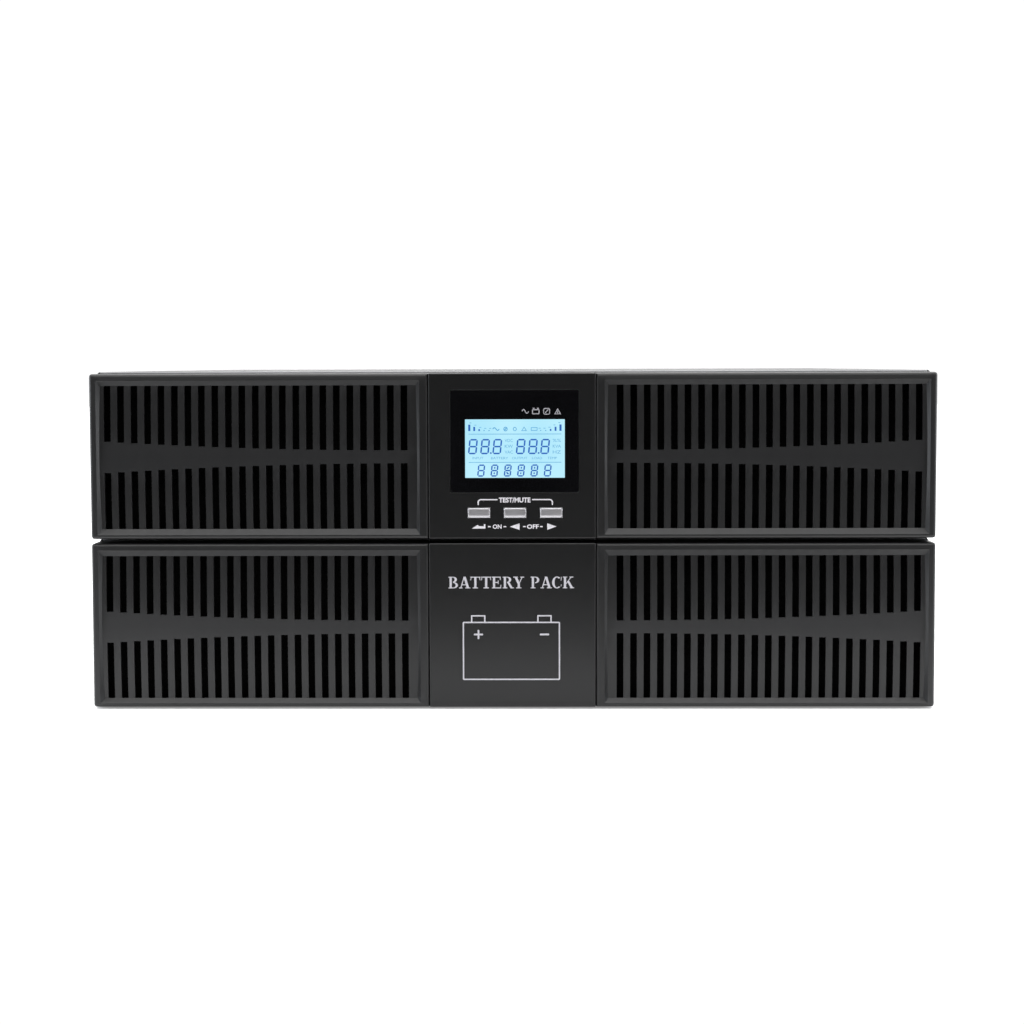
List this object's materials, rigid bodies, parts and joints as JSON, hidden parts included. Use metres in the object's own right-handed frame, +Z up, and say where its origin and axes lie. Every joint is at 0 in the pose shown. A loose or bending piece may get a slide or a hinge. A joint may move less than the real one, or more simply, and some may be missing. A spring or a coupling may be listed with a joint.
{
  "type": "rackmount ups",
  "caption": "Rackmount uninterruptible power supply with a display and keys on its front, standing on its external battery pack.",
  "frame": {"origin": "middle of the footprint, on the surface that the battery pack stands on", "axes": "+Z up, -Y out of the front with the display, +X to the right seen from the front"},
  "size_m": [0.438, 0.52, 0.1757],
  "materials": {
    "bezel_plastic": "satin moulded black",
    "black_sheet": "black powder coat",
    "window_plastic": "gloss black",
    "lcd_face": "lit pale cyan",
    "button_plastic": "silver grey",
    "circuit_board": "green laminate",
    "heatsink_aluminium": "extruded",
    "capacitor_sleeve": "dark blue sleeve",
    "copper_winding": "enamelled winding",
    "battery_case": "moulded grey",
    "zinc_steel": "zinc plated",
    "fan_plastic": "moulded black",
    "guard_wire": "bright plated wire",
    "socket_plastic": "moulded black",
    "connector_plastic": "moulded grey",
    "breaker_plastic": "moulded light grey",
    "lever_plastic": "moulded black"
  },
  "bodies": {
    "root": {"ac_inlet": "socket_plastic", "bus_capacitor_1": "capacitor_sleeve", "bus_capacitor_2": "capacitor_sleeve", "comms_ports": "socket_plastic", "comms_slot_cover": "black_sheet", "control_board": "circuit_board", "dc_breaker": "breaker_plastic", "inner_fan_frame": "fan_plastic", "inner_fan_guard": "guard_wire", "input_breaker": "socket_plastic", "input_choke": "copper_winding", "inverter_heatsink": "heatsink_aluminium", "lower_outlet_strip": "socket_plastic", "outer_fan_frame": "fan_plastic", "outer_fan_guard": "guard_wire", "output_choke": "copper_winding", "pack_base_tray": "black_sheet", "pack_battery_1": "battery_case", "pack_battery_2": "battery_case", "pack_battery_3": "battery_case", "pack_battery_4": "battery_case", "pack_battery_5": "battery_case", "pack_battery_6": "battery_case", "pack_battery_7": "battery_case", "pack_battery_8": "battery_case", "pack_battery_bracket": "zinc_steel", "pack_centre_panel": "bezel_plastic", "pack_fuse_block": "socket_plastic", "pack_left_grille": "bezel_plastic", "pack_link_connector": "connector_plastic", "pack_output_connector": "connector_plastic", "pack_rear_panel": "black_sheet", "pack_right_grille": "bezel_plastic", "pack_top_cover": "black_sheet", "power_board": "circuit_board", "rectifier_heatsink": "heatsink_aluminium", "upper_outlet_strip": "socket_plastic", "ups_base_tray": "black_sheet", "ups_battery_1": "battery_case", "ups_battery_2": "battery_case", "ups_battery_3": "battery_case", "ups_battery_4": "battery_case", "ups_battery_bracket": "zinc_steel", "ups_battery_connector": "connector_plastic", "ups_left_grille": "bezel_plastic", "ups_rear_panel": "black_sheet", "ups_right_grille": "bezel_plastic", "ups_top_cover": "black_sheet"},
    "display": {"display_housing": "bezel_plastic", "display_window": "window_plastic", "lcd_module": "lcd_face", "display_board": "circuit_board"},
    "enter_key": {"enter_button": "button_plastic"},
    "back_key": {"back_button": "button_plastic"},
    "forward_key": {"forward_button": "button_plastic"},
    "outer_rotor": {"outer_fan_rotor": "fan_plastic"},
    "inner_rotor": {"inner_fan_rotor": "fan_plastic"},
    "reset_key": {"breaker_reset_button": "breaker_plastic"},
    "breaker_lever": {"dc_breaker_lever": "lever_plastic"}
  },
  "joints": [
    {"name": "display_pull", "type": "slide", "parent": "root", "child": "display", "axis": [0, -1, 0], "range_m": [0, 0.018]},
    {"name": "enter_press", "type": "slide", "parent": "display", "child": "enter_key", "axis": [0, 1, 0], "range_m": [0, 0.0008], "stiffness_N_per_m": 1200, "springref_m": -0.0003},
    {"name": "back_press", "type": "slide", "parent": "display", "child": "back_key", "axis": [0, 1, 0], "range_m": [0, 0.0008], "stiffness_N_per_m": 1200, "springref_m": -0.0003},
    {"name": "forward_press", "type": "slide", "parent": "display", "child": "forward_key", "axis": [0, 1, 0], "range_m": [0, 0.0008], "stiffness_N_per_m": 1200, "springref_m": -0.0003},
    {"name": "outer_fan_spin", "type": "hinge", "parent": "root", "child": "outer_rotor", "pos_m": [-0.166, 0.2375, 0.13185], "axis": [0, 1, 0], "continuous": true},
    {"name": "inner_fan_spin", "type": "hinge", "parent": "root", "child": "inner_rotor", "pos_m": [-0.082, 0.2375, 0.13185], "axis": [0, 1, 0], "continuous": true},
    {"name": "reset_pop", "type": "slide", "parent": "root", "child": "reset_key", "axis": [0, 1, 0], "range_m": [0, 0.003]},
    {"name": "breaker_swing", "type": "hinge", "parent": "root", "child": "breaker_lever", "pos_m": [0.09, 0.2475, 0.04385], "axis": [0, 0, 1], "range_deg": [-70, 0]}
  ]
}
